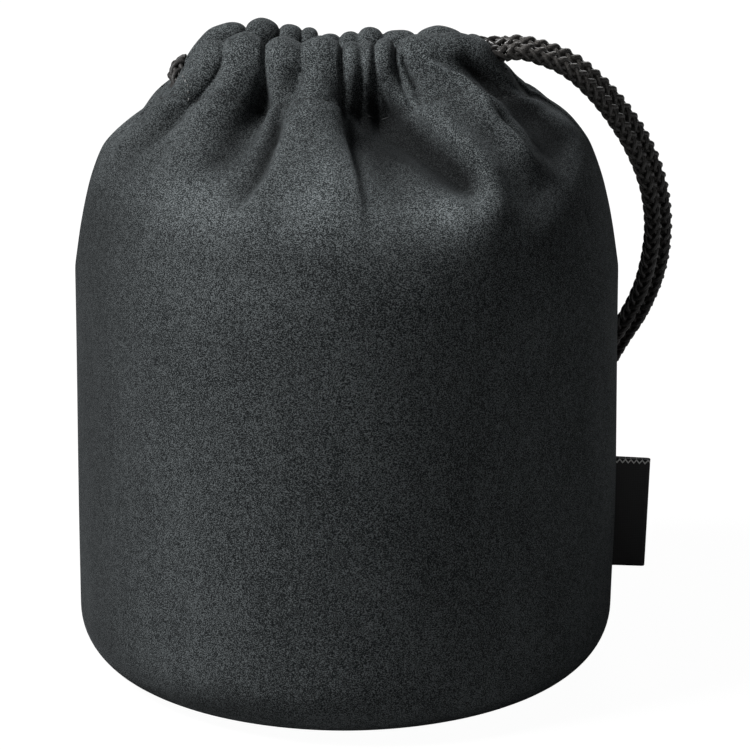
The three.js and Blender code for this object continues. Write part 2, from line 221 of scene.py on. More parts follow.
FLEECE_DARK, FLEECE_PALE = (0.008, 0.0085, 0.009), (0.045, 0.048, 0.05)
LOOP_SCALE, LOOP_CONTRAST = 1600.0, 1.6
BASE_LINING_ROWS = [(0, 4.8), (45.4, 4.8), (45.55, 5.1), (45.4, 5.45), (43, 5.6), (30, 5.75), (0, 5.85)]
fleece, cut = new_finish("brushed_lining", {
    "Roughness": 0.95, "Specular IOR Level": 0.1, "Sheen Weight": 0.2, "Sheen Roughness": 0.5})
loops = cut.noise(LOOP_SCALE, 3.0, 0.7)
wear_on(fleece, Base_Color=((loops - 0.5) * LOOP_CONTRAST + 0.5).clamp().blend(FLEECE_DARK, FLEECE_PALE),
        Normal=loops.bump(0.6, 0.0004))
base_lining_disc = add_piece("base_lining_disc", spun_disc(BASE_LINING_ROWS), fleece)
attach(base_lining_disc, "pouch")
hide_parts("base_lining")


# Wall foam
# Two half-round sheets of the same foam stand inside the outer cloth, one in front and one behind.
# They end at the shoulder, so that the collar above them stays thin enough to gather.

SIDES = {"front": -1, "back": 1}
WALL_PAD_ROWS = [(45.9, 12.8), (46.2, 12.2), (47.2, 12.2), (47.6, 12.8),
                 (47.6, 76.8), (47.2, 77.4), (46.2, 77.4), (45.9, 76.8)]
WALL_PAD_STEPS, WALL_PAD_GAP = 72, 0.4


def half_ring(rows, side, steps, seam_gap):
    """A half ring spun from a closed outline of radius and height, in millimetres."""
    bm = bmesh.new()
    start = math.asin(seam_gap / rows[0][0])
    outline = [bm.verts.new((r * MM * math.cos(start), side * r * MM * math.sin(start), z * MM)) for r, z in rows]
    edges = [bm.edges.new(pair) for pair in zip(outline, outline[1:] + outline[:1])]
    first = bm.faces.new(outline)
    bmesh.ops.spin(bm, geom=outline + edges, cent=(0, 0, 0), axis=(0, 0, 1),
                   angle=side * (math.pi - 2 * start), steps=steps)
    rim = [e for e in bm.edges if e.is_boundary and e.link_faces[0] is not first]
    bmesh.ops.contextual_create(bm, geom=rim)
    bmesh.ops.recalc_face_normals(bm, faces=bm.faces)
    return bm


for name, side in SIDES.items():
    wall_pad = add_piece(f"{name}_wall_pad", half_ring(WALL_PAD_ROWS, side, WALL_PAD_STEPS, WALL_PAD_GAP), foam)
    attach(wall_pad, "pouch")
    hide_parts(f"{name}_padding")


# Wall lining
# The fleece lining is sewn into a tube from a front and a back half, inside the foam.
# Its upper edge is turned over the foam and caught in the shoulder seam.

LINING_ROWS = [(45.0, 6.1), (45.35, 5.95), (45.65, 6.3), (45.65, 75.5), (46.0, 77.5), (46.6, 77.9),
               (47.3, 77.75), (47.35, 78.15), (46.6, 78.45), (45.6, 78.0), (45.0, 75.8)]
LINING_STEPS, LINING_GAP = 96, 0.35
for name, side in SIDES.items():
    lining_half = add_piece(f"{name}_lining_wall", half_ring(LINING_ROWS, side, LINING_STEPS, LINING_GAP), fleece)
    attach(lining_half, "pouch")
    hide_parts(f"{name}_lining")


# Outer cloth
# A front and a back half of brushed suede, sewn together down both sides, make the body and the collar.
# The top edge is folded in and stitched down as a casing, and the drawcord in it gathers the cloth into pleats.

COLUMNS = 278
ROWS = {"hem": 3, "edge": 19, "wall": 62, "slope": 68, "fold": 14, "inside": 12}
TOP_ROW = ROWS["hem"] + ROWS["edge"] + ROWS["wall"] + ROWS["slope"]
FLAT_WIDTH, FLAT_HEIGHT = 157.0, 170.0
ROW_STEP = FLAT_HEIGHT / sum(ROWS.values())
HEM_RADIUS, BODY_RADIUS, WALL_TOP = 36.0, 50.0, 76.0
BASE_ROUND, LESS_AT_SEAMS = 12.0, 2.6
TOP_TAPER, TAPER_FROM = 0.3, 20.0
RIGHT_TUCK, TUCK_TOP, TUCK_HEIGHT = 0.7, 36.0, 32.0


def ease(t):
    t = np.clip(t, 0.0, 1.0)
    return t * t * (3.0 - 2.0 * t)


def bell(t):
    return np.exp(-t * t)


def soften(line, times):
    """A line of values with its corners rounded off and its ends kept."""
    line = np.array(line, float)
    for _ in range(times):
        line[1:-1] = (line[:-2] + 2 * line[1:-1] + line[2:]) / 4
    return line


def body_wall(turn):
    """Rows from the turned-under hem over the rounded edge of the base to the top of the padded wall."""
    lean = np.sin(np.radians(turn))
    bend = np.linspace(0.0, np.pi / 2, ROWS["edge"] + 1)[1:]
    corner = BASE_ROUND - LESS_AT_SEAMS * lean ** 2
    radius = np.concatenate([np.linspace(HEM_RADIUS, BODY_RADIUS - corner, ROWS["hem"] + 1),
                             BODY_RADIUS - corner + corner * np.sin(bend)[:, None],
                             np.full((ROWS["wall"], 1), BODY_RADIUS) + 0 * turn])
    height = np.concatenate([np.zeros((ROWS["hem"] + 1, 1)) + 0 * turn,
                             corner * (1.0 - np.cos(bend)[:, None]),
                             np.linspace(corner, WALL_TOP, ROWS["wall"] + 1)[1:]])
    radius = radius - TOP_TAPER * ease((height - TAPER_FROM) / (WALL_TOP - TAPER_FROM))
    radius = radius - RIGHT_TUCK * ease((TUCK_TOP - height) / TUCK_HEIGHT) * np.maximum(lean, 0.0)
    return np.stack([radius * lean, radius * np.cos(np.radians(turn)), height + 0 * radius], axis=-1)


# Two ways for the cloth to go from the wall to the casing, as a share of the way in and a height:
# TENT is drawn straight up to the cord, DOME lies flatter and turns up below it.
PROFILE_TOP = 117.0
TENT = [(0, WALL_TOP), (0.065, 84.5), (0.14, 91), (0.23, 96.2), (0.33, 100.4), (0.46, 104.4), (0.71, 109.4),
        (0.92, 113.2), (1, PROFILE_TOP)]
DOME = [(0, WALL_TOP), (0.065, 84.5), (0.16, 91.5), (0.28, 96.5), (0.42, 100.3), (0.6, 103.2), (0.78, 105),
        (0.93, 106.6), (0.985, 109.5), (1, 113), (1, PROFILE_TOP)]
WAY_IN, PROFILE_SOFT = 38.0, 8
SHOULDER_FULL, SHOULDER_SHARE = 0.88, 0.35
COLLAR_FROM, NECK_LEVEL = 98.0, 104.0
LEFT_SAG, RIGHT_RISE, SAG_AT, SAG_WIDE = 2.0, 0.6, 0.55, 0.25


def profile(points, count):
    """Evenly spaced steps of inward share and height along an upright line."""
    points = np.array(points, float)
    steps = np.hypot(np.diff(points[:, 0]) * WAY_IN, np.diff(points[:, 1]))
    length = np.concatenate([[0.0], np.cumsum(steps)])
    even = np.linspace(0.0, length[-1], count + 1)
    return [soften(np.interp(even, length, points[:, i]), PROFILE_SOFT)[:, None] for i in (0, 1)]


def gathered_slope(turn, rim, share, neck_x, crest_x, face, high):
    """Rows from the rim of the wall in over the shoulder to the neck, and up the face of the casing."""
    lean = np.sin(np.radians(turn))
    (tent_in, tent_up), (dome_in, dome_up) = profile(TENT, ROWS["slope"]), profile(DOME, ROWS["slope"])
    inward = dome_in + (tent_in - dome_in) * share
    up = dome_up + (tent_up - dome_up) * share
    inward = inward * (1.0 - SHOULDER_FULL * (1.0 - lean ** 2) * (1.0 - ease(inward / SHOULDER_SHARE)))
    raised = COLLAR_FROM + (up - COLLAR_FROM) * (high - COLLAR_FROM) / (PROFILE_TOP - COLLAR_FROM)
    up = np.where(up < COLLAR_FROM, up, raised)
    up = up + np.where(lean < 0, LEFT_SAG, RIGHT_RISE) * lean ** 3 * bell((inward - SAG_AT) / SAG_WIDE)
    aim_x = neck_x + (crest_x - neck_x) * ease((up - NECK_LEVEL) / (PROFILE_TOP - NECK_LEVEL))
    return np.stack([rim[:, 0] + (aim_x - rim[:, 0]) * inward, rim[:, 1] + (face - rim[:, 1]) * inward, up], axis=-1)


CREASE_STARTS, CREASE_ENDS = 0.18, 0.3


def drawn(flat, line, rise, left, right):
    """A crease or ridge along a line on the flat cloth, with its own width on either side, fading at its ends."""
    line = np.array(line, float) * (FLAT_WIDTH / 180.0, ROW_STEP)
    lengths = np.concatenate([[0.0], np.cumsum(np.linalg.norm(np.diff(line, axis=0), axis=1))])
    nearest = np.full(flat.shape[:2], 1e9)
    height = np.zeros(flat.shape[:2])
    for start, end, gone, span in zip(line, line[1:], lengths, np.diff(lengths)):
        t = np.clip(((flat - start) @ (end - start)) / span ** 2, 0.0, 1.0)
        apart = flat - (start + t[..., None] * (end - start))
        away = np.linalg.norm(apart, axis=-1) / np.where(apart[..., 0] < 0, left, right)
        closer = away < nearest
        nearest = np.where(closer, away, nearest)
        share = (gone + t * span) / lengths[-1]
        height = np.where(closer, rise * ease(share / CREASE_STARTS) * ease((1.0 - share) / CREASE_ENDS), height)
    return height * bell(nearest)


CASING_FACE, PAST_CREST = 11.0, 0.6
CORD_SWELL, SWELL_BELOW, SWELL_PAST = 0.9, 8.0, 6.0
VALLEY_OVER_CORD, VALLEY_PAST, VALLEY_LOST = 5.0, 9.0, 0.8
STITCH_HEIGHT, STITCH_ROW = 107.0, 142
GROOVE_DEEP, GROOVE_WIDE = 0.4, 0.9
SEAM_DEEP, SEAM_WIDE = 0.5, 1.1
SEAM_FOOT, SEAM_FOOT_FADE, SEAM_TOP, SEAM_TOP_FADE = 3.0, 8.0, 108.0, 4.0

# How much painted shade and painted highlight the folds put into the suede's colour, and broad painted shade on the
# left side, under the shoulder and at the foot.
VALLEY_SHADE, DENT_SHADE, HOLLOW_SHADE, RIDGE_HIGHLIGHT = 0.1, 0.9, 0.7, 0.3
GROOVE_SHADE, GROOVE_SHADE_WIDE = 0.35, 0.8
LEFT_SHADE, LEFT_FROM, LEFT_FADE, LEFT_TOP, LEFT_TOP_FADE = 1.1, 35.0, 35.0, 102.0, 16.0
SHOULDER_SHADE, SHOULDER_LEVEL, SHOULDER_WIDE = 0.5, 91.0, 4.0
FOOT_SHADE, FOOT_TOP, FOOT_FADE, FOOT_LEAN = 0.5, 15.0, 12.0, 0.6
CREST_HIGHLIGHT, CREST_WIDE = 0.6, 3.0
DARKEST, PALEST = -1.5, 1.0


def fold_relief(shape, turn, crest_x, closing, valleys, dents, creases):
    """How far the folds push each point of the cloth outwards, in millimetres, and the painted shade and highlight
    they put into its colour.
    """
    lean = np.sin(np.radians(turn))
    level = shape[..., 2]
    rows = np.arange(len(shape))[:, None]
    below = (TOP_ROW - rows) * ROW_STEP - CASING_FACE
    past = (rows - TOP_ROW - ROWS["fold"] * PAST_CREST) * ROW_STEP
    swell = CORD_SWELL * ease(1.0 - below / SWELL_BELOW) * (1.0 - ease(past / SWELL_PAST)) * closing
    painted_light = np.zeros(shape.shape[:2])
    for place, deep, reach, left, right, kept in valleys:
        away = crest_x - place
        near = 1.0 - np.clip(np.where(away < 0, -away / left, away / right), 0.0, 1.0)
        over_cord = 1.0 - (1.0 - kept) * ease(-below / VALLEY_OVER_CORD)
        fade = ease(1.0 - below / reach) * over_cord * (1.0 - VALLEY_LOST * ease(past / VALLEY_PAST))
        sunk = deep * fade * (1.0 - np.sqrt(1.0 - near ** 2))
        swell -= sunk
        # Painted shade in the valleys.
        painted_light -= VALLEY_SHADE * sunk
    for place, height, push, wide, tall in dents:
        pushed = push * bell((turn - place) / wide) * bell((level - height) / tall) * (rows < TOP_ROW)
        swell += pushed
        # Dents paint highlight where they push out and shade where they push in.
        painted_light += DENT_SHADE * pushed
    flat = np.stack(np.broadcast_arrays(turn * FLAT_WIDTH / 180.0, rows * ROW_STEP), axis=-1)
    for line, rise, left, right in creases:
        raised = drawn(flat, line, rise, left, right)
        swell += raised
        # Creases paint shade in their hollows and highlight on their ridges.
        painted_light += (HOLLOW_SHADE if rise < 0 else RIDGE_HIGHLIGHT) * raised
    from_stitches = (rows - STITCH_ROW) * ROW_STEP
    swell -= GROOVE_DEEP * bell(from_stitches / GROOVE_WIDE)
    # Painted shade along the stitch groove.
    painted_light -= GROOVE_SHADE * bell(from_stitches / GROOVE_SHADE_WIDE)
    from_seam = (90.0 - np.abs(turn)) * FLAT_WIDTH / 180.0
    swell -= (SEAM_DEEP * bell(from_seam / SEAM_WIDE) * ease((level - SEAM_FOOT) / SEAM_FOOT_FADE)
              * (1.0 - ease((level - SEAM_TOP) / SEAM_TOP_FADE)))
    # Broad painted shade: the left side, the band under the shoulder and the left of the foot.
    painted_light -= (LEFT_SHADE * ease((np.abs(turn) - LEFT_FROM) / LEFT_FADE) * ease((LEFT_TOP - level) / LEFT_TOP_FADE)
               * (turn < 0))
    painted_light -= SHOULDER_SHADE * bell((level - SHOULDER_LEVEL) / SHOULDER_WIDE) * (1.0 - lean ** 2)
    painted_light -= FOOT_SHADE * ease((FOOT_TOP - level) / FOOT_FADE) * ease(-lean / FOOT_LEAN)
    # Painted highlight along the lobe tops under the crest.
    painted_light += CREST_HIGHLIGHT * bell((rows - TOP_ROW - 1.0) * ROW_STEP / CREST_WIDE) * closing
    return swell, np.clip(painted_light, DARKEST, PALEST)


CASING_SIDE, CASING_BELLY, CASING_HALF_WIDTH = 2.6, 3.6, 28.8
CASING_THICK, LIP_LEAST = 6.4, 0.3
LIP_SQUARE, LIP_ROUND = 9, 0.3
GATHER_SOFT, CREST_SOFT, BRIDGED_SOFT, CLOTH_SOFT = 10, 8, 6, 2
INSIDE_DRAW, INSIDE_BELOW = 0.97, 1.0


def casing_depth(x):
    """How far the middle of the casing lies in front of the closed mouth, or behind it."""
    return CASING_SIDE + CASING_BELLY * (1.0 - (x / CASING_HALF_WIDTH) ** 2)


def facing(shape):
    """The direction square to the cloth at each of its points."""
    normal = np.cross(np.gradient(shape, axis=1), np.gradient(shape, axis=0))
    return normal / (np.linalg.norm(normal, axis=-1, keepdims=True) + 1e-9)


def gathered_shape(side, crest, gather, bridged, valleys, dents, creases):
    """Rows and columns of points of one half of the outer cloth, in millimetres, and the painted shade and highlight
    on its colour.
    """
    turn = np.linspace(-90.0, 90.0, COLUMNS + 1)
    neck_x, crest_x = (soften(np.interp(turn, gather[0], gather[i]), GATHER_SOFT) for i in (1, 2))
    ends = np.where(crest_x < 0, crest_x / crest_x[0], crest_x / crest_x[-1])
    closing = (1.0 - ends ** LIP_SQUARE) ** LIP_ROUND
    face = (casing_depth(crest_x) + CASING_THICK / 2) * closing
    back = np.maximum(casing_depth(crest_x) - CASING_THICK / 2, LIP_LEAST) * closing
    round_top = (face - back) / 2
    high = soften(np.interp(crest_x, *zip(*crest)), CREST_SOFT) - round_top
    share = soften(np.interp(crest_x, *zip(*bridged)), BRIDGED_SOFT)

    wall = body_wall(turn)
    slope = gathered_slope(turn, wall[-1], share, neck_x, crest_x, face, high)
    over = np.linspace(0.0, np.pi, ROWS["fold"] + 1)[1:, None]
    fold = np.stack([crest_x + 0 * over, (face + back) / 2 + round_top * np.cos(over),
                     high + round_top * np.sin(over)], axis=-1)
    fall = np.linspace(0.0, 1.0, ROWS["inside"] + 1)[1:, None]
    inside = np.stack([crest_x + (neck_x * INSIDE_DRAW - crest_x) * fall, back + 0 * fall,
                       high + (STITCH_HEIGHT - INSIDE_BELOW - high) * fall], axis=-1)
    shape = np.concatenate([wall, slope[1:], fold, inside])
    shape[..., 1] *= -1.0

    swell, painted_light = fold_relief(shape, turn, crest_x, closing, valleys, dents, creases)
    shape += facing(shape) * swell[..., None]
    for _ in range(CLOTH_SOFT):
        shape[2:-2, 1:-1] = (4 * shape[2:-2, 1:-1] + shape[2:-2, :-2] + shape[2:-2, 2:]
                             + shape[1:-3, 1:-1] + shape[3:-1, 1:-1]) / 8
    shape[..., 1] *= -side
    shape[..., 2] = np.maximum(shape[..., 2], 0.0)
    return shape, painted_light


LIP_FROM, LIP_RISE, LIP_MIDDLE, LIP_FADE = 0.081, 0.024, 0.003, 0.025


def lip_share(points):
    """How far each point follows its lip when the mouth opens: all of it at the middle, none at the seams."""
    high = ease((points[:, 2] - LIP_FROM) / LIP_RISE)
    return high * (1.0 - ease((np.abs(points[:, 0]) - LIP_MIDDLE) / LIP_FADE))


def bend_with_lip(piece):
    """Bakes a piece's transform into its mesh and works out each point's share of the lip, which is not used."""
    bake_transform(piece)
    points = np.empty(3 * len(piece.data.vertices), np.float32)
    piece.data.vertices.foreach_get("co", points)
    shares = lip_share(points.reshape(-1, 3)).astype(np.float32)


# What shapes each half, from the left seam to the right one, in millimetres and in degrees round the body:
# crest    place along the mouth, and the height of the top edge there
# gather   degrees round the body, and the place of that cloth at the neck and at the crest
# bridged  place along the mouth, and the share of TENT in the cloth below it
# valleys  place along the mouth, depth, reach below the casing, width to left and right, share kept over the cord
# dents    degrees, height, push outwards, width in degrees and height
# creases  line of degrees and row, rise, width to left and right
# Valleys, dents and creases also paint shade in their hollows and highlight on their ridges into the suede's colour.
HALVES = {
    "front": {
        "crest": [(-29.3, 112.6), (-27.5, 115.4), (-25.2, 118.0), (-22, 118.6), (-18, 120.0), (-14.7, 118.4),
                  (-11.5, 119.4), (-8, 118.5), (-4.5, 119.7), (-0.8, 118.2), (1, 118.8), (2.8, 118.2),
                  (4, 118.8), (5, 118.3), (7, 119.3), (8.8, 118.5), (12, 119.6), (20, 119.7), (24.5, 118.3),
                  (26.5, 115.8), (28.5, 113)],
        "gather": ([-90, -75, -50, -32, -19, -1, 4, 9, 22, 35, 60, 78, 90],
                   [-31.3, -25.5, -19.0, -13.5, -10.0, -0.5, 2.4, 5.5, 12.3, 17.0, 25.5, 29.2, 31],
                   [-29.3, -22.1, -18.0, -14.7, -8.0, -0.8, 2.8, 5.0, 8.8, 12.5, 16.0, 23.0, 28.5]),
        "bridged": [(-28.5, 1.0), (-25, 0.9), (-22.1, 0.55), (-18.5, 0.95), (-14.7, 0.2), (-11, 0.55), (-5, 0.85),
                    (-0.8, 0.25), (3, 0.0), (6, 0.05), (8.8, 0.35), (12.5, 0.85), (16, 0.95), (18.4, 0.9),
                    (22, 0.95), (28.5, 1.0)],
        "valleys": [(-22.1, 1.2, 18, 3.0, 3.6, 0.9), (-14.7, 1.8, 7, 1.5, 3.0, 0.9), (-8.0, 1.0, 20, 3.0, 3.4, 0.9),
                    (-0.8, 2.2, 3, 1.3, 1.8, 0.9), (2.8, 1.6, 2, 1.8, 1.1, 0.9), (5.0, 1.6, 2, 1.1, 1.9, 0.9),
                    (8.8, 2.0, 1, 1.9, 3.0, 0.9)],
        "dents": [(-36, 97, 0.8, 14, 4), (-1, 98.5, 1.1, 12, 4.5), (25, 96.5, 1.0, 9, 4), (4, 108, -1.1, 7, 3.5),
                  (9, 103.5, -0.9, 8, 3.5), (-76, 103, -0.8, 9, 5), (75, 105, -0.8, 9, 5), (-20.5, 110, -0.8, 4, 7),
                  (44, 108, -0.9, 7, 6), (-63, 102.5, -0.5, 14, 5), (-18, 100, -0.35, 5, 4),
                  (26.5, 96.5, 1.1, 4.5, 2.5)],
        "creases": [
            ([(3, 141.5), (9, 140.5), (13, 139.5), (17.6, 135), (22, 129), (29, 119.5), (34.5, 108.5)], -3.3, 5, 4),
            ([(16, 148), (24, 141), (29, 134), (33.5, 126), (35.5, 119), (35, 112), (30, 106.5), (23, 104)],
             1.9, 3, 4.5),
            ([(-29, 149), (-33.8, 143.8), (-36, 137.5), (-36.5, 131), (-37, 125), (-40, 116)], -1.4, 5, 5),
            ([(-20.7, 149), (-19.3, 140.8), (-17.8, 133), (-18.5, 120), (-22.3, 112.5), (-27, 108)], 1.2, 1.5, 4),
            ([(-8.8, 151), (-8, 141), (-5, 127), (-3.7, 110), (-3, 100)], 1.2, 5, 4),
            ([(61, 152), (58, 147), (52.5, 140), (49.5, 132), (50.5, 124), (54, 118), (57, 113)], 2.7, 9, 1.6),
            ([(78, 156), (75, 149), (71, 141), (69, 136), (66, 130), (64, 124), (65, 116), (67, 109)], -2.5, 5, 11),
            ([(-22, 142), (-22, 134), (-22.5, 123), (-25.5, 114), (-30, 109)], -1.4, 4, 2),
            ([(42, 134), (46, 124), (48, 114), (48, 104)], -0.8, 6, 12),
            ([(-3.5, 147), (-0.8, 143.5), (-1, 135), (0.3, 128), (1.3, 121.5), (2.3, 116), (2.9, 112), (3.2, 104)],
             1.3, 5, 1.2),
            ([(5, 138), (8, 130), (11, 122), (14, 115), (17, 108)], -0.6, 5, 8),
            ([(26.4, 156), (26.6, 154), (28, 152), (29, 149), (28, 146), (27.5, 143), (27, 139)], -1.1, 1.3, 1.6),
            ([(-54, 138.5), (-59.5, 134.8), (-66, 129.5), (-68.6, 122), (-73, 114)], 0.9, 1.6, 6)],
    },
    "back": {
        "crest": [(-29.3, 112.8), (-27, 115.7), (-24.5, 118.3), (-21, 119.2), (-15.4, 119.7), (-10, 118.2),
                  (-6.5, 117.6), (-3.4, 116.3), (0.4, 116.7), (3.7, 117.7), (9.4, 117.1), (16.7, 118.3),
                  (23, 117.4), (26.5, 115), (28.5, 113)],
        "gather": ([-90, -70, -45, -25, -10, 0, 10, 25, 45, 70, 90],
                   [-31.3, -24, -17, -10.5, -5.0, -1.0, 3.2, 9.0, 16.5, 24.5, 31],
                   [-29.3, -20.5, -14.5, -9.0, -4.6, -1.0, 2.6, 7.5, 13.5, 20.5, 28.5]),
        "bridged": [(-28.5, 1.0), (-23, 0.8), (-18.3, 0.3), (-15, 0.85), (-12.1, 0.2), (-8, 0.4), (-5, 0.1),
                    (-1, 0.3), (2.1, 0.1), (4.4, 0.6), (6.6, 0.15), (9.6, 0.8), (12.5, 0.25), (17, 0.9),
                    (21.5, 0.5), (28.5, 1.0)],
        "valleys": [(-18.3, 2.6, 28, 3.6, 3.0, 0.7), (-12.1, 2.4, 20, 3.0, 2.0, 0.7), (-8.1, 1.6, 9, 2.0, 1.6, 0.7),
                    (-4.9, 2.6, 24, 1.6, 1.8, 0.7), (-1.2, 1.8, 9, 1.8, 1.6, 0.7), (2.1, 1.9, 20, 1.6, 2.2, 0.7),
                    (6.6, 2.2, 26, 2.2, 3.0, 0.7), (12.5, 2.6, 34, 3.0, 4.4, 0.7), (21.5, 2.2, 30, 4.4, 3.0, 0.7)],
        "dents": [(20, 98, 1.2, 9, 6), (-22, 100, 1.0, 9, 6), (2, 104, -1.6, 8, 4)],
        "creases": [
            ([(-12, 146), (-17, 134), (-24, 122), (-30, 110)], -2.0, 5, 4),
            ([(14, 146), (20, 134), (26, 122), (30, 110)], 1.4, 4, 6),
            ([(50, 148), (54, 134), (58, 120), (60, 108)], -1.8, 6, 3)],
    },
}
shells = {}
for name, half in HALVES.items():
    shape, painted_light = gathered_shape(SIDES[name], **half)
    shells[name] = shape
    bm = bmesh.new()
    bmesh.ops.create_grid(bm, x_segments=COLUMNS, y_segments=sum(ROWS.values()), size=0.5)
    laid = np.array([v.co[:2] for v in bm.verts])
    order = np.lexsort((laid[:, 0].round(6), laid[:, 1].round(6)))
    bm.verts.ensure_lookup_table()
    # Painted light and shade are stored on each point for the suede to read.
    painted_layer = bm.verts.layers.float.new("painted_light")
    for vertex, point, painted_amount in zip(order, shape.reshape(-1, 3), painted_light.ravel()):
        bm.verts[vertex].co = point * MM
        bm.verts[vertex][painted_layer] = painted_amount
    if SIDES[name] > 0:
        bmesh.ops.reverse_faces(bm, faces=bm.faces)
    cloth = add_piece(f"{name}_cloth", bm, suede, laid * (FLAT_WIDTH * MM, FLAT_HEIGHT * MM))
    thickness = cloth.modifiers.new("thickness", "SOLIDIFY")
    thickness.thickness = SUEDE_THICK * MM
    thickness.offset = -1.0
    bend_with_lip(cloth)
    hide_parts(f"{name}_panel", f"{name}_collar", "left_shoulder", "right_shoulder")


# Casing stitches
# A lock stitch of matching dark thread holds the folded edge down, one row under the drawcord on each half.
# A few pale bar-tack stitches close the left slit, where the cord passes from the front casing to the back one.

THREAD_RADIUS, STITCH_SINK = 0.14, 0.3
STITCH_COLUMNS, STITCH_PITCH, FIRST_STITCH = 4, 6, 4
SEWING_DARK, SEWING_PALE = (0.010, 0.011, 0.012), (0.034, 0.037, 0.038)
TACK_DARK, TACK_PALE = (0.10, 0.10, 0.10), (0.42, 0.42, 0.41)
TACK_ROWS, TACK_COLUMNS, TACK_LIFT = (151, 148, 146, 144, 142), (5, 10, 14, 17, 20), 0.2


def thread_finish(name, grain, roughness):
    """A yarn of fine fibres in its own object coordinates, its colour still to be linked."""
    finish = bpy.data.materials.new(name)
    finish.use_nodes = True
    shader = finish.node_tree.nodes["Principled BSDF"]
    shader.inputs["Roughness"].default_value = roughness
    shader.inputs["Specular IOR Level"].default_value = 0.6
    place = Socket(finish.node_tree, None).node("ShaderNodeTexCoord", {}, {}, out="Object")
    lint = place.noise(grain, 2.0, 0.6)
    wear_on(finish, Normal=lint.bump(0.2, 0.0002))
    return finish, place, ((lint - 0.5) * 3.2 + 0.36).clamp()


def thread_piece(name, lines, finish, sides):
    """Round threads as one mesh; each line is its points and its radius, in millimetres."""
    curve = bpy.data.curves.new(name, "CURVE")
    curve.dimensions = "3D"
    curve.bevel_resolution = sides
    curve.use_fill_caps = True
    curve.bevel_depth = MM
    for line, radius in lines:
        spline = curve.splines.new("POLY")
        spline.points.add(len(line) - 1)
        spline.points.foreach_set("co", np.c_[np.array(line) * MM, np.ones(len(line))].ravel())
        spline.points.foreach_set("radius", np.full(len(line), radius))
    thread = bpy.data.objects.new(name, curve)
    bpy.context.collection.objects.link(thread)
    bpy.context.view_layer.update()
    mesh = bpy.data.meshes.new_from_object(thread.evaluated_get(bpy.context.evaluated_depsgraph_get()))
    mesh.name = name
    bpy.data.objects.remove(thread)
    bpy.data.curves.remove(curve)
    mesh.materials.clear()
    mesh.materials.append(finish)
    mesh.polygons.foreach_set("use_smooth", [True] * len(mesh.polygons))
    piece = bpy.data.objects.new(name, mesh)
    bpy.context.collection.objects.link(piece)
    return piece


def stitch(shape, places, lift):
    """One stitch over the cloth: it comes up through it, lies on it and goes back down."""
    normal = facing(shape)
    outward = np.where(normal[..., 1:2] * shape[..., 1:2] < 0, -normal, normal)
    raised = [-STITCH_SINK] + [lift] * (len(places) - 2) + [-STITCH_SINK]
    line = [shape[row, column] + outward[row, column] * height for (row, column), height in zip(places, raised)]
    return line, THREAD_RADIUS


sewing, _, fleck = thread_finish("sewing_thread", grain=4000.0, roughness=0.8)
wear_on(sewing, Base_Color=fleck.blend(SEWING_DARK, SEWING_PALE))
tacking, _, fleck = thread_finish("bar_tack_thread", grain=3000.0, roughness=0.6)
wear_on(tacking, Base_Color=fleck.blend(TACK_DARK, TACK_PALE))
for name, shell in shells.items():
    firsts = range(FIRST_STITCH, COLUMNS - STITCH_COLUMNS - FIRST_STITCH + 1, STITCH_PITCH)
    seam_lines = [stitch(shell, [(STITCH_ROW, first + step) for step in range(STITCH_COLUMNS + 1)], 0.0)
                  for first in firsts]
    sewn = thread_piece(f"{name}_casing_stitches", seam_lines, sewing, 0)
    bend_with_lip(sewn)
    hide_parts(f"{name}_collar")
tack_lines = [stitch(shells["front"], [(row, column - 1), (row, column), (row - 1, column + 1)], TACK_LIFT)
              for row, column in zip(TACK_ROWS, TACK_COLUMNS)]
tack = thread_piece("left_bar_tack", tack_lines, tacking, 0)
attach(tack, "pouch")
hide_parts("front_collar")


# Drawcord
# One braided cord runs through both casings: out of the front one, round the left seam and into the back one.
# Its two ends leave at the right seam, smoother there from handling, hang beside the pouch,
# and are tied together in a knot on the ground. Their upper stretch is painted paler: painted light where the key
# light falls.

CORD, CORD_STEP, CASING_STEP = 3.4, 0.42, 0.6
STRANDS, BRAID_TURN = 4, 9.8
STRAND_LAY, STRAND_LIFT, STRAND_RADIUS, STRAND_SIDES = 1.02, 0.24, 0.5, 2
CORE_RADIUS, CORE_EVERY = 0.92, 4
SPAN_STEPS = 24
BRAID_START = (0.0, 0.3, 1.0)
# The cord's own colours, then a paler copy that is painted light on the tails.
CORD_OWN_DARK, CORD_OWN_PALE = (0.012, 0.0112, 0.0108), (0.042, 0.039, 0.037)
PAINTED_LIT_DARK, PAINTED_LIT_PALE = (0.040, 0.038, 0.036), (0.19, 0.18, 0.17)
PAINTED_LIT_LEVEL, PAINTED_LIT_RATE, OUTSIDE, OUTSIDE_RATE = 0.082, 30.0, 0.026, 200.0
CORD_ROUGH, CORD_SMOOTHED, SMOOTHED_RATE = 0.6, 0.3, 50.0

braid, place, fleck = thread_finish("braided_cord", grain=4200.0, roughness=0.3)
level, beside = place.axis("Z"), place.axis("X")
# Painted light: the upper stretch of the tails beside the right seam gets the paler copy, where the key light falls
# on them.
painted_lit_share = ((level - PAINTED_LIT_LEVEL) * PAINTED_LIT_RATE).clamp() * ((beside - OUTSIDE) * OUTSIDE_RATE).clamp()
cord_colour_and_painted_light = painted_lit_share.blend(fleck.blend(CORD_OWN_DARK, CORD_OWN_PALE), fleck.blend(PAINTED_LIT_DARK, PAINTED_LIT_PALE))
wear_on(braid, Base_Color=cord_colour_and_painted_light, Roughness=CORD_ROUGH - (beside * SMOOTHED_RATE).clamp() * CORD_SMOOTHED)


